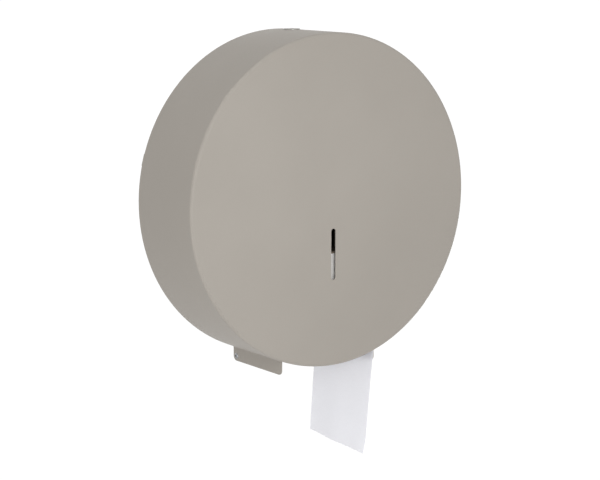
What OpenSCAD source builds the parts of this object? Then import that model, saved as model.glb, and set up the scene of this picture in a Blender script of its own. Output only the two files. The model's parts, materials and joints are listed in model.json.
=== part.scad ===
// Wall-mounted jumbo toilet roll dispenser: a round sheet steel cover that
// tips forward on two hinge rivets, a back plate with a spindle, and a part-used
// roll that hangs on the spindle hub.
// Origin: on the wall, on the drum's axis. +Z up, the front faces -Y.

/* [Drum cover] */
// Outer radius of the drum
drum_r = 200; // [180:1:240]
// Thickness of the cover's sheet steel
sheet_t = 1.2; // [0.8:0.1:1.6]
// Outer radius of the rounded rim between front and skirt
rim_r = 3.4; // [1.8:0.1:5]
// Free gap between the skirt's rear edge and the ears it closes on
seat_gap = 0.2; // [0.1:0.1:1]

/* [Sight slot] */
// Width of the sight slot
slot_w = 6.6; // [4.5:0.1:12]
// Height of the sight slot, over its round ends
slot_len = 62; // [30:1:90]
// Distance from the drum's axis down to the slot's middle
slot_drop = 63.8; // [50:0.1:90]

/* [Paper opening] */
// Half of the paper opening's width
opening_half = 68; // [60:1:80]
// Radius of the front lower corner of each tear flange
flange_corner_r = 6; // [2:0.5:8]
// Distance from the outside of the front to each flange's front edge
flange_front_gap = 9.6; // [6:0.1:40]
// Radius of the bend between the skirt and each flange
flange_bend_r = 2.5; // [1:0.1:4]

/* [Hinge] */
// Distance from the wall to the hinge axis
hinge_wall_gap = 10.4; // [9:0.1:18]
// Height of the hinge axis above the drum's lowest point
hinge_rise = 1.3; // [0.5:0.1:6]
// Radius of each flange's round end about the hinge axis
hinge_end_r = 6.2; // [5.5:0.1:8]
// Radius of the hinge rivets' shanks
hinge_pin_r = 2; // [1.5:0.1:2.4]
// Radius of the hinge rivets' heads
hinge_head_r = 3.7; // [3.2:0.1:5]
// Thickness of the nylon washers between flange and lug
hinge_washer_t = 1; // [0.5:0.1:2]
// Radial clearance of each running fit
run_gap = 0.05; // [0.02:0.01:0.09]

/* [Back plate] */
// Thickness of the back plate
plate_t = 1.5; // [1:0.1:2.5]
// Radial gap between the back plate's rim and the inside of the skirt
plate_gap = 1.5; // [1.3:0.1:3]
// Depth of the back plate's turned-up rim
plate_rim_depth = 12; // [8:0.5:12]
// Height of the back plate's lower edge above the hinge axis
plate_cut_rise = 52; // [50:1:80]
// Distance between the wall holes from side to side
wall_hole_dx = 180; // [100:1:240]
// Distance between the wall holes from top to bottom
wall_hole_dz = 160; // [90:1:200]
// Radius of the wall holes
wall_hole_r = 3.2; // [2.5:0.1:4]
// Radius of the stiffening bead pressed into the back plate
bead_r = 100; // [90:1:108]
// Height of the stiffening bead
bead_h = 2.5; // [1:0.1:4]

/* [Spindle] */
// Radius of the steel axle
axle_r = 6; // [4:0.5:8]
// Outer radius of the spindle's mounting flange
spindle_flange_r = 32; // [28:1:45]
// Thickness of the spindle's mounting flange
spindle_flange_t = 2.5; // [1.5:0.1:4]
// Radius of the circle that the flange's rivets stand on
spindle_rivet_pcr = 24; // [20:0.5:26]
// Outer radius of the hub sleeve, on which the roll's core hangs
hub_r = 13.7; // [12.5:0.1:16]
// Radius of the hub sleeve's rear shoulder
hub_shoulder_r = 19; // [17:0.5:24]
// Thickness of the axle washers
axle_washer_t = 1.4; // [0.8:0.1:2]

/* [Roll] */
// Width of the paper
paper_w = 98; // [85:1:120]
// Outer radius of the part-used roll
roll_r = 82; // [60:1:100]
// Inner radius of the cardboard core
core_r = 38; // [30:0.5:45]
// Thickness of the cardboard core
core_t = 2; // [1:0.1:3]
// Gap between hub and core, and between roll and loose paper
loose_gap = 0.3; // [0.1:0.1:1]
// Distance from the wall to the roll's rear face
roll_wall_gap = 14; // [13.5:0.5:25]
// Gap between the roll and the inside of the front
roll_front_gap = 4; // [3:0.1:12]

/* [Hanging paper] */
// Thickness that stands for the loose paper
paper_t = 0.5; // [0.3:0.1:1]
// How far the paper hangs below the drum at its front corner
tail_hang = 122; // [60:1:140]
// Gap between the paper's front edge and the right flange, in the opening
tail_flange_gap = 1.8; // [0.6:0.1:6]

/* [Lock] */
// Distance from the wall to the lock's axis
lock_wall_gap = 31; // [30:0.5:45]
// Radius of the lock's face
lock_face_r = 9.8; // [9:0.1:12]
// Height of the lock's face above the skirt
lock_face_h = 1.2; // [0.8:0.1:3]
// Radius of the lock's threaded body
lock_body_r = 8; // [7.5:0.1:8.8]
// Length of the lock's body below the outside of the skirt
lock_body_len = 18; // [16:0.5:24]
// Radius of the turning plug
plug_r = 5.5; // [5:0.1:6]
// Length of the cam, from the lock's axis to its tip
cam_len = 18; // [15:0.5:19]
// Width of the cam
cam_w = 10; // [8:0.5:12]
// Thickness of the cam
cam_t = 2.5; // [1.5:0.1:3]

/* [Hidden] */
$fn = 128;
eps = 0.01;
// How far a cutting shape runs past what it cuts, and a joined shape into its neighbour
cut = 1;
join = 5;

coat_colour = [0.66, 0.64, 0.61];
zinc_colour = [0.72, 0.73, 0.74];
chrome_colour = [0.82, 0.82, 0.83];
plastic_colour = [0.24, 0.24, 0.25];
nylon_colour = [0.92, 0.91, 0.88];
card_colour = [0.63, 0.52, 0.40];
paper_colour = [0.95, 0.95, 0.96];

// The cover
drum_depth = roll_wall_gap + paper_w + roll_front_gap + sheet_t;
skirt_inner_r = drum_r - sheet_t;
skirt_rear = plate_t + seat_gap;
skirt_front = drum_depth - rim_r;

// The hinge, seen from the side: [y, z]
hinge_y = -hinge_wall_gap;
hinge_z = -(drum_r - hinge_rise);
flange_outer = opening_half + sheet_t;
flange_bottom = hinge_z - hinge_end_r;
flange_front = drum_depth - flange_front_gap;
lug_outer = opening_half - hinge_washer_t - 2 * run_gap;
lug_inner = lug_outer - plate_t;
lug_step = 2;
lug_end_r = hinge_end_r - lug_step;
lug_root = 24;
lug_tangent = 40;
hinge_head_h = 1.6;
hinge_tail_h = 1.1;
hinge_tail_step = 1;
hinge_tail_r = hinge_pin_r + hinge_tail_step;
rivet_bore_r = hinge_pin_r / 2;
rivet_bore_depth = 2;

// The back plate
plate_r = skirt_inner_r - plate_gap;
plate_bend_r = 3;
plate_cut_z = hinge_z + plate_cut_rise;
tongue_rise = 11;
tongue_bottom = hinge_z + tongue_rise;
ear_angles = [15, 75, 105, 165];
ear_w = 14;
ear_r = (drum_r + skirt_inner_r) / 2;
bead_w = 12;

// The spindle, hub and roll
collar_wall = 5;
collar_r = axle_r + collar_wall;
collar_len = 5.5;
collar_front = plate_t + spindle_flange_t + collar_len;
hub_shoulder_t = 3;
hub_rear = roll_wall_gap - hub_shoulder_t - loose_gap;
hub_recess = 8;
hub_front = roll_wall_gap + paper_w - hub_recess;
axle_front = hub_front + loose_gap;
groove_r = 1.2;
groove_count = 8;
groove_start = 4;
axle_washer_step = 2;
screw_r = 2.5;
screw_depth = 14;
screw_tip_gap = 2;
screw_head_r = 5;
screw_head_h = 3;
hex_across = 4;
rivet_r = 2.4;
rivet_head_r = 4.5;
rivet_head_h = 1.8;
spindle_rivet_count = 4;
roll_z = hub_r + loose_gap - core_r;
roll_front = roll_wall_gap + paper_w;
core_gap = 0.1;

// The lock and its strike
lock_y = -lock_wall_gap;
lock_seat_z = drum_r;
lock_nut_r = 11.5;
lock_nut_z = sqrt(pow(skirt_inner_r, 2) - pow(lock_nut_r, 2)) - run_gap;
lock_nut_h = 3.5;
lock_bottom = drum_r - lock_body_len;
plug_step = 1.5;
plug_shoulder_r = plug_r + plug_step;
plug_shoulder_h = 2;
keyway_w = 1.4;
keyway_len = 7;
keyway_depth = 7;
cam_top = lock_bottom - 2 * run_gap;
cam_bottom = cam_top - cam_t;
cam_screw_r = 2;
cam_screw_head_r = 4.2;
cam_screw_head_h = 2.2;
cam_screw_len = 5;
cam_slot_w = 1;
cam_slot_depth = 0.9;
strike_t = 2;
strike_gap = 0.6;
strike_side_gap = 3;
strike_x = lock_body_r + strike_side_gap;
strike_w = 16;
strike_shelf_drop = 4;
strike_shelf_top = cam_bottom - strike_shelf_drop;
strike_lip_front = lock_wall_gap + cam_w / 2 + strike_gap + strike_t;
strike_foot_len = 40;
strike_rivet_inset = 10;

// The hanging paper: each edge runs from the roll to the opening and on down
exit_rise = 8;
tail_twist = 15.1;
tail_lean_front = 12.3;
tail_lean_back = 10.2;
tail_slant = 12.6;
tail_start = [roll_r + loose_gap, roll_z];
tail_exit_z = exit_rise - drum_r;
tail_exit_front = [opening_half - tail_flange_gap, tail_exit_z];
tail_exit_back = tail_exit_front - [tail_twist, 0];
tail_end_front = [tail_exit_front[0] - tail_lean_front, -(drum_r + tail_hang)];
tail_end_back = [tail_exit_back[0] - tail_lean_back, tail_slant - drum_r - tail_hang];
tail_lead_front = 50;
tail_lead_back = 26;
tail_bow_front = 0.25;
tail_bow_back = 0.1;
tail_drift = 3;
tail_steps = 12;

// Stands children up on the wall: their XY plane faces the front, starting at a depth
module from_wall(depth) {
    translate([0, -depth, 0]) rotate([90, 0, 0]) children();
}

// Turns children so that their XY plane is seen from the side (Y, Z), starting at x
module from_side(x) {
    translate([x, 0, 0]) rotate([90, 0, 90]) children();
}

// A child and its mirror image on the other side
module both_sides() {
    children();
    mirror([1, 0, 0]) children();
}

module disc_ring(outer, inner, height) {
    difference() {
        cylinder(r = outer, h = height);
        translate([0, 0, -cut]) cylinder(r = inner, h = height + 2 * cut);
    }
}

// A rectangle with a round end at the top and at the bottom
module slot_2d(width, length) {
    straight = length - width;
    square([width, straight], center = true);
    for (side = [-1, 1]) translate([0, side * straight / 2]) circle(d = width);
}

// Low domed head of radius r and height h, flat side down
module dome(r, h) {
    ball_r = (r * r + h * h) / (2 * h);
    intersection() {
        translate([0, 0, h - ball_r]) sphere(r = ball_r);
        cylinder(r = r + cut, h = h + cut);
    }
}

// A blind rivet: a head at the front and a shank that ends inside the back plate
module plate_rivet(grip) {
    from_wall(plate_t / 4) cylinder(r = rivet_r, h = grip - plate_t / 4);
    from_wall(grip) difference() {
        dome(rivet_head_r, rivet_head_h);
        cylinder(r = rivet_r / 2, h = 2 * rivet_head_h, center = true);
    }
}

module spindle_rivet_places() {
    for (i = [0 : spindle_rivet_count - 1]) rotate([0, (i + 0.5) * 360 / spindle_rivet_count, 0])
        translate([spindle_rivet_pcr, 0, 0]) children();
}

module strike_rivet_places() {
    x = strike_x + strike_w / 2;
    foot_bottom = strike_shelf_top - strike_foot_len;
    for (z = [foot_bottom + strike_rivet_inset, strike_shelf_top - 2 * strike_rivet_inset])
        translate([x, 0, z]) children();
}

module wall_hole_places() {
    for (x = [-1, 1], z = [-1, 1]) translate([x * wall_hole_dx / 2, 0, z * wall_hole_dz / 2]) children();
}

// ---- Body that stays on the wall ----

// Side view of a hinge lug, from the back plate down to its round end
module lug_2d() {
    difference() {
        union() {
            polygon([
                [0, tongue_bottom + lug_root],
                [-plate_bend_r, tongue_bottom + lug_root],
                [hinge_y - lug_end_r, hinge_z],
                [hinge_y, hinge_z],
                [hinge_y + lug_end_r * sin(lug_tangent), hinge_z - lug_end_r * cos(lug_tangent)],
                [0, tongue_bottom]
            ]);
            translate([hinge_y, hinge_z]) circle(r = lug_end_r);
        }
        translate([hinge_y, hinge_z]) circle(r = hinge_pin_r + run_gap);
    }
}

// Half section of the disc with its turned-up rim
module plate_section() {
    difference() {
        union() {
            square([plate_r - plate_bend_r, plate_t]);
            translate([plate_r - plate_t, plate_bend_r]) square([plate_t, plate_rim_depth - plate_bend_r]);
            translate([plate_r - plate_bend_r, plate_bend_r]) intersection() {
                difference() {
                    circle(r = plate_bend_r);
                    circle(r = plate_bend_r - plate_t);
                }
                translate([0, -plate_bend_r]) square(plate_bend_r);
            }
            translate([bead_r - bead_w / 2, plate_t - eps]) bead_2d(bead_w, bead_h);
        }
        translate([bead_r - bead_w / 2 + plate_t, -eps]) bead_2d(bead_w - 2 * plate_t, bead_h);
    }
}

module bead_2d(width, height) {
    polygon([[0, 0], [width, 0], [width - height, height], [height, height]]);
}

module back_plate() {
    tongue_w = 2 * lug_outer;
    color(coat_colour) difference() {
        union() {
            difference() {
                from_wall(0) rotate_extrude() plate_section();
                translate([-drum_r, -drum_r, plate_cut_z - 2 * drum_r]) cube(2 * drum_r);
            }
            translate([-lug_outer, -plate_t, tongue_bottom])
                cube([tongue_w, plate_t, plate_cut_z - tongue_bottom + 2 * join]);
            for (a = ear_angles) rotate([0, -a, 0])
                translate([plate_r - join, -plate_t, -ear_w / 2])
                    cube([ear_r - plate_r + join, plate_t, ear_w]);
            both_sides() from_side(lug_inner) linear_extrude(plate_t) lug_2d();
        }
        wall_hole_places() from_wall(-cut) cylinder(r = wall_hole_r, h = plate_t + 2 * cut);
        spindle_rivet_places() from_wall(-cut) cylinder(r = rivet_r, h = plate_t + 2 * cut);
        strike_rivet_places() from_wall(-cut) cylinder(r = rivet_r, h = plate_t + 2 * cut);
    }
}

module spindle_flange() {
    color(zinc_colour) difference() {
        from_wall(plate_t) {
            cylinder(r = spindle_flange_r, h = spindle_flange_t);
            cylinder(r = collar_r, h = spindle_flange_t + collar_len);
        }
        from_wall(0) cylinder(r = axle_r, h = collar_front + cut);
        spindle_rivet_places() from_wall(0)
            cylinder(r = rivet_r, h = plate_t + spindle_flange_t + cut);
    }
}

module spindle_rivets() {
    color(zinc_colour) spindle_rivet_places() plate_rivet(plate_t + spindle_flange_t);
}

module spindle_axle() {
    color(zinc_colour) difference() {
        from_wall(plate_t) cylinder(r = axle_r, h = axle_front - plate_t);
        from_wall(axle_front - screw_depth) cylinder(r = screw_r, h = screw_depth + cut);
    }
}

module rear_axle_washer() {
    color(nylon_colour) from_wall(collar_front)
        disc_ring(collar_r, axle_r + run_gap, hub_rear - collar_front - loose_gap);
}

module front_axle_washer() {
    color(zinc_colour) from_wall(axle_front)
        disc_ring(hub_r - axle_washer_step, screw_r + run_gap, axle_washer_t);
}

module axle_screw() {
    head_at = axle_front + axle_washer_t;
    color(zinc_colour) difference() {
        union() {
            from_wall(axle_front - screw_depth + screw_tip_gap)
                cylinder(r = screw_r - run_gap, h = screw_depth - screw_tip_gap + axle_washer_t);
            from_wall(head_at) dome(screw_head_r, screw_head_h);
        }
        from_wall(head_at + screw_head_h / 2)
            cylinder(d = hex_across / cos(30), h = screw_head_h, $fn = 6);
    }
}

module hinge_washers() {
    color(nylon_colour) both_sides() from_side(lug_outer + run_gap)
        translate([hinge_y, hinge_z]) disc_ring(lug_end_r, hinge_pin_r + run_gap, hinge_washer_t);
}

// An angle with a foot on the back plate and an upright lip that the cam turns behind
module strike_bracket() {
    shelf_bottom = strike_shelf_top - strike_t;
    color(zinc_colour) difference() {
        union() {
            translate([strike_x, -plate_t - strike_t, strike_shelf_top - strike_foot_len])
                cube([strike_w, strike_t, strike_foot_len]);
            translate([strike_x, -strike_lip_front, shelf_bottom])
                cube([strike_w, strike_lip_front - plate_t, strike_t]);
            translate([strike_x, -strike_lip_front, shelf_bottom])
                cube([strike_w, strike_t, cam_top - shelf_bottom]);
        }
        strike_rivet_places() from_wall(0) cylinder(r = rivet_r, h = plate_t + strike_t + cut);
    }
}

module strike_rivets() {
    color(zinc_colour) strike_rivet_places() plate_rivet(plate_t + strike_t);
}

// Point at t (0 to 1) on the curve from a to c that leaves a towards b
function bend_point(a, b, c, t) = (1 - t) * (1 - t) * a + 2 * t * (1 - t) * b + t * t * c;

// Points down one edge of the paper, as [x, z]
function tail_edge(exit, end, lead, bow) = let (lead_point = tail_start - [0, lead]) concat(
    [for (i = [0 : tail_steps - 1]) bend_point(tail_start, lead_point, exit, i / tail_steps)],
    [for (i = [0 : tail_steps]) bend_point(exit, exit + bow * (exit - lead_point), end, i / tail_steps)]
);

module paper_tail() {
    front_edge = tail_edge(tail_exit_front, tail_end_front, tail_lead_front, tail_bow_front);
    back_edge = tail_edge(tail_exit_back, tail_end_back, tail_lead_back, tail_bow_back);
    last = len(front_edge) - 1;
    points = [for (i = [0 : last]) let (
        drift = tail_drift * i / last,
        y_front = -roll_front + drift,
        y_back = y_front + paper_w,
        f = front_edge[i],
        b = back_edge[i]
    ) each [
        [f[0], y_front, f[1]], [f[0] + paper_t, y_front, f[1]],
        [b[0] + paper_t, y_back, b[1]], [b[0], y_back, b[1]]
    ]];
    // Both broad sides split each cell along the same diagonal, so the twist keeps them apart
    sides = [for (i = [0 : 4 : 4 * last - 1]) each [
        [i, i + 1, i + 5], [i, i + 5, i + 4],
        [i + 1, i + 2, i + 6], [i + 1, i + 6, i + 5],
        [i + 2, i + 3, i + 7], [i + 2, i + 7, i + 6],
        [i + 3, i, i + 7], [i, i + 4, i + 7]
    ]];
    end = 4 * last;
    caps = [[2, 1, 0], [3, 2, 0], [end, end + 1, end + 2], [end, end + 2, end + 3]];
    color(paper_colour) polyhedron(points = points, faces = concat(sides, caps));
}

// ---- Body that tips forward ----

// Half section of the front: a flat disc that ends in a rounded rim
module front_section() {
    corner = drum_r - rim_r;
    translate([0, rim_r - sheet_t]) square([corner, sheet_t]);
    translate([corner, 0]) intersection() {
        difference() {
            circle(r = rim_r);
            circle(r = rim_r - sheet_t);
        }
        square(rim_r);
    }
}

module front_panel() {
    color(coat_colour) difference() {
        from_wall(skirt_front) rotate_extrude($fn = 256) front_section();
        translate([0, 0, -slot_drop]) from_wall(skirt_front - cut)
            linear_extrude(rim_r + 2 * cut) slot_2d(slot_w, slot_len);
    }
}

// Side view of a tear flange: a round end about the hinge and a small front corner
module flange_2d() {
    top = -sqrt(pow(skirt_inner_r, 2) - pow(opening_half, 2)) - sheet_t / 2;
    corner = [-flange_front, flange_bottom] + flange_corner_r * [1, 1];
    translate([hinge_y, hinge_z]) circle(r = hinge_end_r);
    translate([hinge_y, hinge_z]) square([hinge_end_r, top - hinge_z]);
    polygon([
        [hinge_y, flange_bottom], [hinge_y, top], [-flange_front, top],
        [-flange_front, corner[1]], [corner[0], flange_bottom]
    ]);
    translate(corner) circle(r = flange_corner_r);
}

// Section of the bend between the skirt and a flange, seen from the front
module bend_2d() {
    bend_x = flange_outer + flange_bend_r;
    centre_r = drum_r + flange_bend_r;
    centre = [bend_x, -sqrt(centre_r * centre_r - bend_x * bend_x)];
    touch = centre * drum_r / centre_r;
    difference() {
        polygon([[flange_outer - sheet_t / 2, centre[1]], [flange_outer, centre[1]], touch,
            touch * skirt_inner_r / drum_r, [flange_outer - sheet_t / 2, touch[1]]]);
        translate(centre) circle(r = flange_bend_r);
    }
}

module tear_flange() {
    difference() {
        union() {
            from_side(opening_half) linear_extrude(sheet_t) flange_2d();
            from_wall(hinge_wall_gap - hinge_end_r)
                linear_extrude(flange_front - hinge_wall_gap + hinge_end_r) bend_2d();
        }
        from_side(opening_half - cut) translate([hinge_y, hinge_z])
            cylinder(r = hinge_pin_r, h = sheet_t + 2 * cut);
    }
}

module cover_skirt() {
    color(coat_colour) difference() {
        union() {
            difference() {
                from_wall(skirt_rear)
                    disc_ring(drum_r, skirt_inner_r, skirt_front - skirt_rear, $fn = 256);
                translate([-opening_half, -drum_depth, -drum_r - cut])
                    cube([2 * opening_half, drum_depth, drum_r]);
            }
            both_sides() tear_flange();
        }
        translate([0, lock_y, lock_bottom])
            cylinder(r = lock_body_r + run_gap, h = 2 * lock_body_len);
    }
}

module hinge_rivets() {
    shank_end = lug_inner - hinge_tail_h - 2 * run_gap;
    color(zinc_colour) both_sides() translate([0, hinge_y, hinge_z]) rotate([0, 90, 0]) difference() {
        union() {
            translate([0, 0, shank_end]) cylinder(r = hinge_pin_r, h = flange_outer - shank_end);
            translate([0, 0, shank_end]) cylinder(r = hinge_tail_r, h = hinge_tail_h);
            translate([0, 0, flange_outer]) dome(hinge_head_r, hinge_head_h);
        }
        translate([0, 0, flange_outer - rivet_bore_depth])
            cylinder(r = rivet_bore_r, h = rivet_bore_depth + hinge_head_h + 2 * cut);
    }
}

module lock_body() {
    color(chrome_colour) translate([0, lock_y, 0]) difference() {
        union() {
            translate([0, 0, lock_seat_z]) cylinder(r = lock_face_r, h = lock_face_h);
            translate([0, 0, lock_bottom]) cylinder(r = lock_body_r, h = lock_body_len + eps);
        }
        translate([0, 0, lock_bottom - cut])
            cylinder(r = plug_r + run_gap, h = lock_body_len + lock_face_h + 2 * cut);
        translate([0, 0, lock_seat_z + lock_face_h - plug_shoulder_h - run_gap])
            cylinder(r = plug_shoulder_r + run_gap, h = plug_shoulder_h + cut);
    }
}

module lock_nut() {
    color(zinc_colour) translate([0, lock_y, lock_nut_z - lock_nut_h]) difference() {
        cylinder(r = lock_nut_r, h = lock_nut_h, $fn = 6);
        translate([0, 0, -cut]) cylinder(r = lock_body_r + run_gap, h = lock_nut_h + 2 * cut);
    }
}

module lock_plug() {
    top = lock_seat_z + lock_face_h;
    color(chrome_colour) translate([0, lock_y, 0]) difference() {
        union() {
            translate([0, 0, cam_top]) cylinder(r = plug_r, h = top - cam_top);
            translate([0, 0, top - plug_shoulder_h]) cylinder(r = plug_shoulder_r, h = plug_shoulder_h);
        }
        translate([-keyway_w / 2, -keyway_len / 2, top - keyway_depth])
            cube([keyway_w, keyway_len, keyway_depth + cut]);
        translate([0, 0, cam_top - cut]) cylinder(r = cam_screw_r, h = cam_screw_len + 2 * cut);
    }
}

module lock_cam() {
    color(zinc_colour) translate([0, lock_y, cam_bottom]) difference() {
        union() {
            cylinder(r = plug_shoulder_r, h = cam_t);
            translate([-cam_w / 2, 0, 0]) cube([cam_w, cam_len - cam_w / 2, cam_t]);
            translate([0, cam_len - cam_w / 2, 0]) cylinder(d = cam_w, h = cam_t);
        }
        translate([0, 0, -cut]) cylinder(r = cam_screw_r + run_gap, h = cam_t + 2 * cut);
    }
}

module cam_screw() {
    color(zinc_colour) translate([0, lock_y, 0]) difference() {
        union() {
            translate([0, 0, cam_bottom]) cylinder(r = cam_screw_r - run_gap, h = cam_t + cam_screw_len);
            translate([0, 0, cam_bottom]) rotate([180, 0, 0]) dome(cam_screw_head_r, cam_screw_head_h);
        }
        translate([-cam_slot_w / 2, -cam_screw_head_r, cam_bottom - cam_screw_head_h - cut])
            cube([cam_slot_w, 2 * cam_screw_head_r, cam_slot_depth + cut]);
    }
}

// ---- Bodies that turn with the roll ----

module hub_sleeve() {
    color(plastic_colour) difference() {
        union() {
            from_wall(hub_rear) cylinder(r = hub_r, h = hub_front - hub_rear);
            from_wall(hub_rear) cylinder(r = hub_shoulder_r, h = hub_shoulder_t);
        }
        from_wall(hub_rear - cut)
            cylinder(r = axle_r + run_gap, h = hub_front - hub_rear + 2 * cut);
        for (i = [0 : groove_count - 1]) rotate([0, i * 360 / groove_count, 0]) translate([hub_r, 0, 0])
            from_wall(hub_rear + hub_shoulder_t + groove_start) cylinder(r = groove_r, h = hub_front);
    }
}

module roll_core() {
    color(card_colour) translate([0, 0, roll_z]) from_wall(roll_wall_gap)
        disc_ring(core_r + core_t, core_r, paper_w);
}

module paper_roll() {
    color(paper_colour) translate([0, 0, roll_z]) from_wall(roll_wall_gap)
        disc_ring(roll_r, core_r + core_t + core_gap, paper_w);
}

back_plate();
spindle_flange();
spindle_rivets();
spindle_axle();
rear_axle_washer();
front_axle_washer();
axle_screw();
hinge_washers();
strike_bracket();
strike_rivets();
paper_tail();
front_panel();
cover_skirt();
hinge_rivets();
lock_body();
lock_nut();
lock_plug();
lock_cam();
cam_screw();
hub_sleeve();
roll_core();
paper_roll();
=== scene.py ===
"""Looks of the jumbo toilet roll dispenser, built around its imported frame.

Metres throughout. +Z is up, the front of the drum faces -Y, the wall is at Y = 0.
"""
import json
import math

import bmesh
import bpy
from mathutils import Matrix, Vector, noise


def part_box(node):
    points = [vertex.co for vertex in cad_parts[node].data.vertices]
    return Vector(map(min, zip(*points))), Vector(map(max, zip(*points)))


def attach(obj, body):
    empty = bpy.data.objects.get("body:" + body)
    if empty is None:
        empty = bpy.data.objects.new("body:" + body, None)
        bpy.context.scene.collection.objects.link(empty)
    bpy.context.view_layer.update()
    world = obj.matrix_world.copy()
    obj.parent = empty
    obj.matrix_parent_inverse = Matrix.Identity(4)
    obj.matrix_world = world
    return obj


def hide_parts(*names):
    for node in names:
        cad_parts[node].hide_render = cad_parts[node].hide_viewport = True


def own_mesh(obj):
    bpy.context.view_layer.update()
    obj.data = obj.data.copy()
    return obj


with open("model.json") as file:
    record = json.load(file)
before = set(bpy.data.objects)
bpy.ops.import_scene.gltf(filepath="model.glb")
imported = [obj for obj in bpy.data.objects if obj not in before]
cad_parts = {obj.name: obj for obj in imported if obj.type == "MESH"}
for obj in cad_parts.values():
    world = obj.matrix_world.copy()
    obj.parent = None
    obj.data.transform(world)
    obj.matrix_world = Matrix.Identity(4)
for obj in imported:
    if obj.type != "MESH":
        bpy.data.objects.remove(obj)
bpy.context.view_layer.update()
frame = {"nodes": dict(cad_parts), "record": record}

MM = 0.001

# ---- Sizes taken from the frame ----

ROLL_LOW, ROLL_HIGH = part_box("paper_roll")
ROLL_RADIUS = (ROLL_HIGH.x - ROLL_LOW.x) / 2
ROLL_Z = (ROLL_HIGH.z + ROLL_LOW.z) / 2
CORE_LOW, CORE_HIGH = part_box("roll_core")
CORE_RADIUS = (CORE_HIGH.x - CORE_LOW.x) / 2
TAIL_LOW, TAIL_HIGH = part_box("paper_tail")
LOCK_LOW, LOCK_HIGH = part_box("lock_body")
LOCK_Y = (LOCK_HIGH.y + LOCK_LOW.y) / 2

# ---- Wound roll ----

ROLL_GAP = 0.1 * MM             # between the core and the innermost paper
ROLL_SLACK = 0.3 * MM           # keeps the uneven outside within the CAD roll
ROLL_OUTSIDE = ROLL_RADIUS - ROLL_SLACK
ROLL_TURNS = 240                # sections around the axis
ROLL_WIDTH_STEPS = 28           # spans across the paper's width
RING_STEP = 0.8 * MM            # between the rings on the cut ends
RING_WANDER = 0.16 * MM         # how far a ring stands proud
RING_GRAIN = 0.9                # noise cells per ring
FRONT_RINGS, REAR_RINGS = 3.1, 8.4      # noise seeds of the two cut ends
OUTSIDE_WANDER = 0.22 * MM      # how uneven the outside is
OUTSIDE_GRAIN = 2.2             # noise cells in one radius, for the way around
OUTSIDE_WIDTH_GRAIN = 30        # noise cells per metre of width
OUTSIDE_MARGIN = 0.2 * MM       # depth below the outside that is still tinted as outside
OUTSIDE_BLEND = 0.1 * MM        # over which the cut ends' painted shade changes to it

# ---- Hanging paper: each edge bends from the roll to the opening, then on down ----

PAPER_THICKNESS = 0.22 * MM
PAPER_WIDTH = 98 * MM
TAIL_COLUMNS = 132              # cells across the sheet
TAIL_ROWS = 140                 # cells down the sheet
TAIL_MIDDLE = 0.25 * MM         # half the thickness that the CAD sheet has
TAIL_INSIDE = 0.5               # share of the rows that lie inside the drum
TAIL_EXIT = Vector((66.2 * MM, -192 * MM))      # x and z where the front edge leaves the drum
TAIL_TWIST = 15.1 * MM          # how much further left the rear edge leaves it
TAIL_LEAN_FRONT = 12.3 * MM     # how far each edge leans to the left below the drum
TAIL_LEAN_BACK = 10.2 * MM
TAIL_SLANT = 12.6 * MM          # how much higher the tear is at the rear edge
TAIL_LEAD_FRONT = 50 * MM       # how far below its start each edge turns to the opening
TAIL_LEAD_BACK = 26 * MM
TAIL_BOW_FRONT = 0.25           # how strongly each edge keeps its direction below the drum
TAIL_BOW_BACK = 0.1
TAIL_DRIFT = 3 * MM             # how far the tear has moved towards the wall

LOOSE_START = 0.35              # share of the length above which the sheet is held smooth
RIPPLE = 0.9 * MM               # height of the main ripple at the tear
RIPPLE_GROWTH = 1.5             # power by which the ripples grow towards the tear
RIPPLE_WAVES = (                # height, radians across, radians down, phase
    (1.0, 5.2, 2.4, 0.0),
    (0.5, 11.0, -3.0, 1.0),
)
CRUMPLE = 0.35 * MM
CRUMPLE_ACROSS, CRUMPLE_DOWN, CRUMPLE_SEED = 6, 14, 2.7
CHIP = 2.6 * MM                 # missing from the front lower corner
CHIP_START = 0.95               # share of the length above which nothing is missing
CHIP_POWER = 6                  # how quickly the chip fades away from the corner
TEAR = 0.55 * MM                # mean height of the ragged edge above the sheet's end
STUB_GRAIN, STUB_SEED = 46, 0.4
FIBRE_GRAIN, FIBRE_SEED = 190, 5.2
FIBRE_SHARE = 0.4               # of the stubs' height
SHARP_ANGLE = 40                # degrees above which an edge of the sheet is drawn sharp

# ---- Camera and light ----

CAMERA_PLACE = (-1.2893, -1.8648, 0.3098)
CAMERA_TARGET = (0.0342, 0.0, -0.0655)
CAMERA_LENS = 110.65
SENSOR_WIDTH = 36.0
WHITE = (1, 1, 1, 1)
WORLD_LIGHT = 0.60
FLOOR_Z = -0.9
FLOOR_HALF = 60.0
FLOOR_COLOUR = (0.93, 0.93, 0.93, 1.0)
FLOOR_WHITE = 0.9               # share of plain white over the lit floor
FLOOR_GLOW = 1.09               # that white's strength, so that the floor meets the white world
LAMP_TARGET = (0, 0, 0)
LAMPS = (                       # name, place, side of its square, watts
    ("key", (-0.23, -0.92, 0.10), 0.35, 2.6),
    ("left", (-0.86, -0.40, -0.31), 0.5, 1.2),
    ("right", (1.02, 0.18, -0.60), 0.8, 4.2),
    ("top", (-0.51, -0.30, 1.27), 0.8, 2.2),
    ("back", (0.20, 0.90, 0.12), 0.6, 2.1),
)

# ---- Materials ----

USUAL_NOISE = (0.3, 0.7)        # the range that nearly all of a noise texture's values lie in
MIX_FIRST, MIX_SECOND, MIX_RESULT = 6, 7, 2     # a Mix node's sockets when it mixes colours


def srgb(red, green, blue):
    """A colour given as 0 to 255 on screen, in the linear values that shaders take."""
    def linear(value):
        value /= 255
        return value / 12.92 if value <= 0.04045 else ((value + 0.055) / 1.055) ** 2.4
    return (linear(red), linear(green), linear(blue), 1.0)


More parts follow.
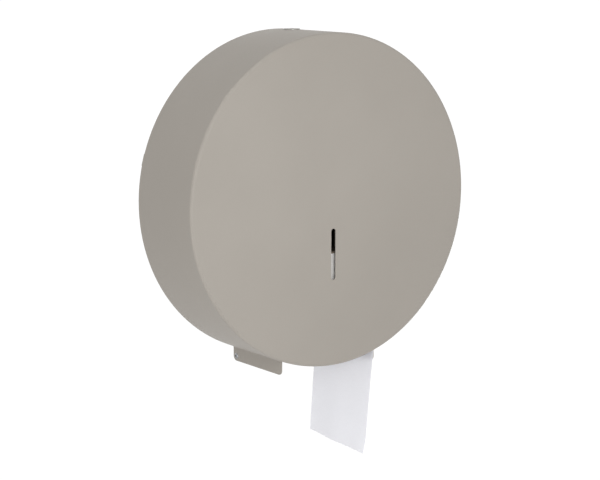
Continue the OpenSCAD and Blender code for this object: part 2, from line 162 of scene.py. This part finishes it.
def put(tree, value, socket):
    """Links an output to a socket, or sets the socket to a plain value."""
    if isinstance(value, bpy.types.NodeSocket):
        tree.links.new(value, socket)
    else:
        socket.default_value = value


class Finish:
    """A Principled material, with short calls that add nodes to it.

    The colour and roughness it starts with are about its mean values, for viewers without nodes.
    """

    def __init__(self, name, colour, roughness, metallic=0.0, specular=0.5):
        self.material = bpy.data.materials.new(name)
        self.material.use_nodes = True
        self.tree = self.material.node_tree
        self.nodes = self.tree.nodes
        self.shader = self.nodes["Principled BSDF"]
        self.shader.inputs["Base Color"].default_value = colour
        self.shader.inputs["Roughness"].default_value = roughness
        self.shader.inputs["Metallic"].default_value = metallic
        self.shader.inputs["Specular IOR Level"].default_value = specular
        self.place = self.nodes.new("ShaderNodeTexCoord").outputs["Object"]
        self.relief = None

    def put(self, value, socket):
        put(self.tree, value, socket)

    def vector_math(self, operation, first, *second):
        node = self.nodes.new("ShaderNodeVectorMath")
        node.operation = operation
        for value, socket in zip((first, *second), node.inputs):
            self.put(value, socket)
        return node.outputs["Value" if operation == "LENGTH" else "Vector"]

    def stretched(self, scale):
        """The object's coordinates, scaled by a different factor along each axis."""
        return self.vector_math("MULTIPLY", self.place, scale)

    def distance_from_axis(self, centre, across):
        """Distance from an axis through centre; across is 1 for the two directions square to it."""
        moved = self.vector_math("SUBTRACT", self.place, centre)
        return self.vector_math("LENGTH", self.vector_math("MULTIPLY", moved, across))

    def noise(self, scale, detail=2.0, rough=0.5, vector=None):
        node = self.nodes.new("ShaderNodeTexNoise")
        node.inputs["Scale"].default_value = scale
        node.inputs["Detail"].default_value = detail
        node.inputs["Roughness"].default_value = rough
        self.put(vector or self.place, node.inputs["Vector"])
        return node.outputs["Fac"]

    def line_noise(self, value, scale, detail):
        """Noise along one number, for rings."""
        node = self.nodes.new("ShaderNodeTexNoise")
        node.noise_dimensions = "1D"
        node.inputs["Scale"].default_value = scale
        node.inputs["Detail"].default_value = detail
        self.put(value, node.inputs["W"])
        return node.outputs["Fac"]

    def cells(self, scale):
        """Distance from the middles of scattered cells."""
        node = self.nodes.new("ShaderNodeTexVoronoi")
        node.inputs["Scale"].default_value = scale
        self.put(self.place, node.inputs["Vector"])
        return node.outputs["Distance"]

    def math(self, operation, first, second):
        node = self.nodes.new("ShaderNodeMath")
        node.operation = operation
        self.put(first, node.inputs[0])
        self.put(second, node.inputs[1])
        return node.outputs[0]

    def remap(self, value, old, new=(0, 1)):
        """Takes the range old to the range new, and clamps at its ends."""
        node = self.nodes.new("ShaderNodeMapRange")
        self.put(value, node.inputs["Value"])
        names = ("From Min", "From Max", "To Min", "To Max")
        for name, number in zip(names, (*old, *new)):
            node.inputs[name].default_value = number
        return node.outputs["Result"]

    def mix(self, share, first, second):
        node = self.nodes.new("ShaderNodeMix")
        node.data_type = "RGBA"
        self.put(share, node.inputs["Factor"])
        self.put(first, node.inputs[MIX_FIRST])
        self.put(second, node.inputs[MIX_SECOND])
        return node.outputs[MIX_RESULT]

    def bump(self, height, depth, strength):
        """Adds relief of that depth in metres, on top of any relief that is there already."""
        node = self.nodes.new("ShaderNodeBump")
        node.inputs["Strength"].default_value = strength
        node.inputs["Distance"].default_value = depth
        self.put(height, node.inputs["Height"])
        if self.relief:
            self.put(self.relief, node.inputs["Normal"])
        self.relief = node.outputs["Normal"]
        self.put(self.relief, self.shader.inputs["Normal"])

    def colour(self, value):
        self.put(value, self.shader.inputs["Base Color"])

    def roughness(self, value):
        self.put(value, self.shader.inputs["Roughness"])


def powder_coat():
    """Grey-beige powder coat: fine orange peel, a faint fleck and slow changes of tone."""
    finish = Finish("powder_coat", srgb(171, 165, 157), 0.5, specular=0.2)
    tone = finish.remap(finish.noise(7, detail=3), USUAL_NOISE)
    base = finish.mix(tone, srgb(169, 163, 155), srgb(173, 167, 159))
    fleck = finish.remap(finish.noise(2600, detail=1), (0.56, 0.74), (0, 0.35))
    finish.colour(finish.mix(fleck, base, srgb(154, 147, 138)))
    finish.roughness(finish.remap(finish.noise(420), USUAL_NOISE, (0.46, 0.56)))
    finish.bump(finish.noise(1050, rough=0.45), depth=0.05 * MM, strength=0.5)
    finish.bump(finish.noise(260, detail=1), depth=0.05 * MM, strength=0.25)
    return finish.material


def zinc():
    """Zinc-plated steel: rolled streaks over a faint spangle."""
    finish = Finish("zinc_plate", srgb(150, 151, 152), 0.36, metallic=1.0)
    spangle = finish.math("MULTIPLY", finish.cells(210), 0.45)
    streaks = finish.noise(240, detail=3, rough=0.6, vector=finish.stretched((1, 1, 9)))
    tone = finish.math("ADD", spangle, finish.math("MULTIPLY", streaks, 0.55))
    share = finish.remap(tone, USUAL_NOISE)
    finish.colour(finish.mix(share, srgb(134, 136, 138), srgb(166, 167, 168)))
    finish.roughness(finish.remap(streaks, USUAL_NOISE, (0.28, 0.46)))
    finish.bump(streaks, depth=0.012 * MM, strength=0.5)
    return finish.material


def nickel():
    """Satin nickel lock: turned rings around the lock's axis."""
    finish = Finish("lock_nickel", srgb(176, 174, 169), 0.36, metallic=1.0)
    radius = finish.distance_from_axis((0, LOCK_Y, 0), (1, 1, 0))
    rings = finish.line_noise(radius, 9000, detail=2)
    finish.roughness(finish.remap(rings, USUAL_NOISE, (0.3, 0.42)))
    finish.bump(rings, depth=0.01 * MM, strength=0.5)
    share = finish.remap(finish.noise(700), (0.35, 0.65))
    finish.colour(finish.mix(share, srgb(170, 168, 163), srgb(182, 180, 175)))
    return finish.material


def hub_plastic():
    """Dark moulded plastic with a fine spark-eroded grain."""
    finish = Finish("hub_plastic", srgb(62, 62, 64), 0.48, specular=0.45)
    finish.colour(finish.mix(finish.noise(60), srgb(56, 56, 58), srgb(68, 68, 70)))
    finish.roughness(finish.remap(finish.noise(900), USUAL_NOISE, (0.42, 0.56)))
    finish.bump(finish.noise(1800), depth=0.04 * MM, strength=0.5)
    return finish.material


def nylon():
    """Milky nylon washers."""
    finish = Finish("nylon", srgb(233, 230, 221), 0.42)
    finish.colour(finish.mix(finish.noise(180), srgb(228, 224, 213), srgb(238, 236, 229)))
    finish.roughness(finish.remap(finish.noise(900, detail=1), USUAL_NOISE, (0.36, 0.5)))
    finish.bump(finish.noise(1400), depth=0.02 * MM, strength=0.5)
    return finish.material


def card():
    """Grey-brown wound board with long fibres."""
    finish = Finish("core_card", srgb(128, 117, 104), 0.86, specular=0.2)
    fibres = finish.noise(900, detail=4, rough=0.65, vector=finish.stretched((1, 0.3, 1)))
    share = finish.remap(fibres, USUAL_NOISE)
    finish.colour(finish.mix(share, srgb(112, 101, 88), srgb(144, 133, 120)))
    finish.bump(fibres, depth=0.08 * MM, strength=0.7)
    finish.bump(finish.noise(220), depth=0.1 * MM, strength=0.4)
    return finish.material


def tissue():
    """Soft white tissue: crepe lines across the web and loose fibres."""
    finish = Finish("tissue", srgb(240, 240, 251), 0.95, specular=0.1)
    finish.shader.inputs["Subsurface Weight"].default_value = 0.6
    finish.shader.inputs["Subsurface Radius"].default_value = (1, 1, 1)
    finish.shader.inputs["Subsurface Scale"].default_value = 1.5 * MM
    crepe = finish.noise(700, detail=3, rough=0.6, vector=finish.stretched((1, 0.25, 2.2)))
    fibres = finish.noise(2200, detail=3, rough=0.65)
    share = finish.remap(crepe, USUAL_NOISE)
    finish.colour(finish.mix(share, srgb(238, 238, 249), srgb(242, 242, 253)))
    finish.bump(crepe, depth=0.12 * MM, strength=0.6)
    finish.bump(fibres, depth=0.05 * MM, strength=0.6)
    return finish.material


def wound_tissue():
    """Thin rings of wound paper on the cut ends, drawn darker than the outside as painted shade,
    and the smoother, cooler paper outside.
    """
    finish = Finish("wound_tissue", srgb(228, 227, 225), 0.95, specular=0.1)
    radius = finish.distance_from_axis((0, 0, ROLL_Z), (1, 0, 1))
    layers = finish.line_noise(radius, 3600, detail=3)
    fibres = finish.noise(1500, detail=3, rough=0.65)
    ring_share, fibre_share = (finish.remap(grain, USUAL_NOISE) for grain in (layers, fibres))
    # painted shade: the cut ends are the same paper as the outside, drawn darker because they lie
    # in shade inside the drum; their rings are the paper's own grain
    ends = finish.mix(ring_share, srgb(216, 214, 211), srgb(236, 235, 233))
    outside = finish.mix(fibre_share, srgb(234, 234, 241), srgb(240, 240, 249))
    full = ROLL_OUTSIDE - OUTSIDE_WANDER - OUTSIDE_MARGIN
    finish.colour(finish.mix(finish.remap(radius, (full - OUTSIDE_BLEND, full)), ends, outside))
    finish.bump(layers, depth=0.12 * MM, strength=0.7)
    finish.bump(fibres, depth=0.08 * MM, strength=0.6)
    return finish.material


def dress_nodes():
    """Gives each shown CAD node the finish of its own slot."""
    finishes = {
        "coat": powder_coat(), "zinc": zinc(), "lock_nickel": nickel(),
        "hub_plastic": hub_plastic(), "nylon": nylon(), "card": card(),
    }
    slots = {part["node"]: part["material_slot"] for part in frame["record"]["subparts"]}
    for name, node in frame["nodes"].items():
        if slots[name] in finishes:
            node.data.materials.clear()
            node.data.materials.append(finishes[slots[name]])


# ---- Pieces ----

def link(name, data):
    """Puts a new object into the scene."""
    made = bpy.data.objects.new(name, data)
    bpy.context.scene.collection.objects.link(made)
    return made


def mesh_piece(name, points, faces, material):
    """A smooth-shaded object from points and faces, its normals turned outwards."""
    mesh = bpy.data.meshes.new(name)
    mesh.from_pydata([tuple(point) for point in points], [], faces)
    mesh.validate()
    built = bmesh.new()
    built.from_mesh(mesh)
    bmesh.ops.recalc_face_normals(built, faces=built.faces)
    built.to_mesh(mesh)
    built.free()
    for face in mesh.polygons:
        face.use_smooth = True
    mesh.materials.append(material)
    return link(name, mesh)


def grid_faces(rows, columns, closed=False):
    """Faces between rows of points. Closed, the last row and column also meet the first."""
    row_spans, column_spans = (rows, columns) if closed else (rows - 1, columns - 1)
    faces = []
    for row in range(row_spans):
        here, there = row * columns, (row + 1) % rows * columns
        for column in range(column_spans):
            after = (column + 1) % columns
            faces.append((here + column, here + after, there + after, there + column))
    return faces


def wander(*place):
    """Smooth noise between -1 and 1, the same on each run."""
    return noise.noise(Vector(place))


def roll_profile():
    """Closed half section of the roll, as (radius, y): front end, outside, rear end."""
    inner, outer = CORE_RADIUS + ROLL_GAP, ROLL_OUTSIDE
    rings = round((outer - inner) / RING_STEP)
    radii = [inner + (outer - inner) * ring / rings for ring in range(rings + 1)]

    def proud(radius, seed):
        if radius in (radii[0], radii[-1]):
            return 0.0
        return RING_WANDER * abs(wander(radius / RING_STEP * RING_GRAIN, seed, 0))

    front_y, rear_y = ROLL_LOW.y + 2 * RING_WANDER, ROLL_HIGH.y - 2 * RING_WANDER
    front = [(radius, front_y - proud(radius, FRONT_RINGS)) for radius in radii]
    rear = [(radius, rear_y + proud(radius, REAR_RINGS)) for radius in reversed(radii)]
    shares = [step / ROLL_WIDTH_STEPS for step in range(1, ROLL_WIDTH_STEPS)]
    outside = [(outer, front_y + (rear_y - front_y) * share) for share in shares]
    return front + outside + rear


def roll_of_paper():
    """The wound roll: its half section turned around the axis, uneven towards the outside."""
    profile = roll_profile()
    points = []
    for turn in range(ROLL_TURNS):
        angle = 2 * math.pi * turn / ROLL_TURNS
        out = Vector((math.cos(angle), 0, math.sin(angle)))
        for radius, y in profile:
            share = (radius - CORE_RADIUS) / (ROLL_OUTSIDE - CORE_RADIUS)
            grain = (out.x * OUTSIDE_GRAIN, y * OUTSIDE_WIDTH_GRAIN, out.z * OUTSIDE_GRAIN)
            place = out * (radius + OUTSIDE_WANDER * share * wander(*grain))
            points.append((place.x, y, ROLL_Z + place.z))
    faces = grid_faces(ROLL_TURNS, len(profile), closed=True)
    roll = mesh_piece("wound_roll", points, faces, wound_tissue())
    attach(roll, "roll")
    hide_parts("paper_roll")
    return roll


def bend_point(start, middle, end, share):
    """A point on the curve from start to end that is drawn towards middle."""
    return (1 - share) ** 2 * start + 2 * share * (1 - share) * middle + share ** 2 * end


def edge_point(exit_point, end, lead, bow, down):
    """A point down one edge of the paper, as (x, z)."""
    start = Vector((TAIL_HIGH.x - 2 * TAIL_MIDDLE, TAIL_HIGH.z))
    turning = start - Vector((0, lead))
    if down < TAIL_INSIDE:
        return bend_point(start, turning, exit_point, down / TAIL_INSIDE)
    below = (down - TAIL_INSIDE) / (1 - TAIL_INSIDE)
    return bend_point(exit_point, exit_point + bow * (exit_point - turning), end, below)


def tail_point(across, down):
    """across is 0 at the front edge and 1 at the rear, down 0 at the roll and 1 at the tear."""
    exit_back = TAIL_EXIT - Vector((TAIL_TWIST, 0))
    end_front = Vector((TAIL_EXIT.x - TAIL_LEAN_FRONT, TAIL_LOW.z))
    end_back = Vector((exit_back.x - TAIL_LEAN_BACK, TAIL_LOW.z + TAIL_SLANT))
    front = edge_point(TAIL_EXIT, end_front, TAIL_LEAD_FRONT, TAIL_BOW_FRONT, down)
    back = edge_point(exit_back, end_back, TAIL_LEAD_BACK, TAIL_BOW_BACK, down)
    flat = front.lerp(back, across)

    chipped = max(0.0, down - CHIP_START) / (1 - CHIP_START)
    chip = CHIP * chipped * (1 - across) ** CHIP_POWER
    y = ROLL_LOW.y + TAIL_DRIFT * down + PAPER_WIDTH * across + chip

    loose = max(0.0, (down - LOOSE_START) / (1 - LOOSE_START))
    wave = sum(height * math.sin(width_turn * across + length_turn * down + phase)
               for height, width_turn, length_turn, phase in RIPPLE_WAVES)
    ripple = RIPPLE * loose ** RIPPLE_GROWTH * wave
    grain = (across * CRUMPLE_ACROSS, down * CRUMPLE_DOWN, CRUMPLE_SEED)
    crumple = CRUMPLE * loose * wander(*grain)
    return Vector((flat.x + TAIL_MIDDLE + ripple + crumple, y, flat.y))


def torn(point, across):
    """Ragged lower edge: short stubs where the sheet parted."""
    stubs = wander(across * STUB_GRAIN, STUB_SEED, 0)
    fibres = FIBRE_SHARE * wander(across * FIBRE_GRAIN, FIBRE_SEED, 0)
    return point + Vector((0, 0, TEAR * (1 + stubs + fibres)))


def thicken(piece, thickness):
    """Gives a sheet its thickness, worked into its mesh, with crisp cut edges."""
    solid = piece.modifiers.new("thickness", "SOLIDIFY")
    solid.thickness = thickness
    solid.offset = 0.0
    shaped = piece.evaluated_get(bpy.context.evaluated_depsgraph_get())
    piece.data = bpy.data.meshes.new_from_object(shaped)
    piece.modifiers.clear()
    piece.data.set_sharp_from_angle(angle=math.radians(SHARP_ANGLE))


def hanging_paper(roll):
    """The loose end of the roll, out through the opening and down to the tear."""
    points = []
    for row in range(TAIL_ROWS + 1):
        for column in range(TAIL_COLUMNS + 1):
            across = column / TAIL_COLUMNS
            point = tail_point(across, row / TAIL_ROWS)
            points.append(torn(point, across) if row == TAIL_ROWS else point)
    faces = grid_faces(TAIL_ROWS + 1, TAIL_COLUMNS + 1)
    tail = mesh_piece("hanging_paper", points, faces, tissue())
    thicken(tail, PAPER_THICKNESS)
    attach(tail, "base")
    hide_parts("paper_tail")
    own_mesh(tail)


# ---- Floor, light and camera ----

def mixed_shader(tree, share, first, second):
    mixed = tree.nodes.new("ShaderNodeMixShader")
    for value, socket in zip((share, first, second), mixed.inputs):
        put(tree, value, socket)
    return mixed.outputs[0]


def shown_white(tree, shader, white_type, strength, share):
    """Mixes a share of plain white over shader where camera, gloss or glass look straight at it."""
    path = tree.nodes.new("ShaderNodeLightPath")
    steps = (
        ("MAXIMUM", path.outputs["Is Glossy Ray"]),
        ("MAXIMUM", path.outputs["Is Transmission Ray"]),
        ("MULTIPLY", share),
    )
    seen = path.outputs["Is Camera Ray"]
    for operation, other in steps:
        node = tree.nodes.new("ShaderNodeMath")
        node.operation = operation
        put(tree, seen, node.inputs[0])
        put(tree, other, node.inputs[1])
        seen = node.outputs[0]
    white = tree.nodes.new(white_type)
    white.inputs["Color"].default_value = WHITE
    white.inputs["Strength"].default_value = strength
    return mixed_shader(tree, seen, shader, white.outputs[0])


def make_world():
    """Even light from all around, seen as plain white."""
    world = bpy.data.worlds.new("studio")
    bpy.context.scene.world = world
    world.use_nodes = True
    tree = world.node_tree
    soft = tree.nodes["Background"]
    soft.inputs["Color"].default_value = WHITE
    soft.inputs["Strength"].default_value = WORLD_LIGHT
    lit = soft.outputs[0]
    shown = shown_white(tree, lit, "ShaderNodeBackground", strength=1.0, share=1.0)
    tree.links.new(shown, tree.nodes["World Output"].inputs["Surface"])


def make_floor():
    """A pale floor that keeps the object's shadow and is clear from underneath."""
    finish = Finish("pale_floor", FLOOR_COLOUR, 0.9, specular=0.1)
    tree = finish.tree
    lit = finish.shader.outputs[0]
    shown = shown_white(tree, lit, "ShaderNodeEmission", FLOOR_GLOW, FLOOR_WHITE)
    underside = tree.nodes.new("ShaderNodeNewGeometry").outputs["Backfacing"]
    clear = tree.nodes.new("ShaderNodeBsdfTransparent").outputs[0]
    one_way = mixed_shader(tree, underside, shown, clear)
    tree.links.new(one_way, tree.nodes["Material Output"].inputs["Surface"])
    signs = ((-1, -1), (1, -1), (1, 1), (-1, 1))
    corners = [(FLOOR_HALF * x, FLOOR_HALF * y, FLOOR_Z) for x, y in signs]
    mesh_piece("floor", corners, [(0, 1, 2, 3)], finish.material)


def aim(thing, place, target):
    """Puts a lamp or camera at place, looking at target."""
    thing.location = place
    view = Vector(target) - Vector(place)
    thing.rotation_euler = view.to_track_quat("-Z", "Y").to_euler()


def make_lamps():
    for name, place, size, power in LAMPS:
        data = bpy.data.lights.new(name, "AREA")
        data.shape = "SQUARE"
        data.size = size
        data.energy = power
        aim(link(name, data), place, LAMP_TARGET)


def make_camera():
    data = bpy.data.cameras.new("camera")
    data.lens = CAMERA_LENS
    data.sensor_width = SENSOR_WIDTH
    camera = link("camera", data)
    aim(camera, CAMERA_PLACE, CAMERA_TARGET)
    bpy.context.scene.camera = camera


make_camera()
make_world()
make_floor()
make_lamps()
dress_nodes()
hanging_paper(roll_of_paper())
bpy.context.scene.view_settings.view_transform = "Standard"
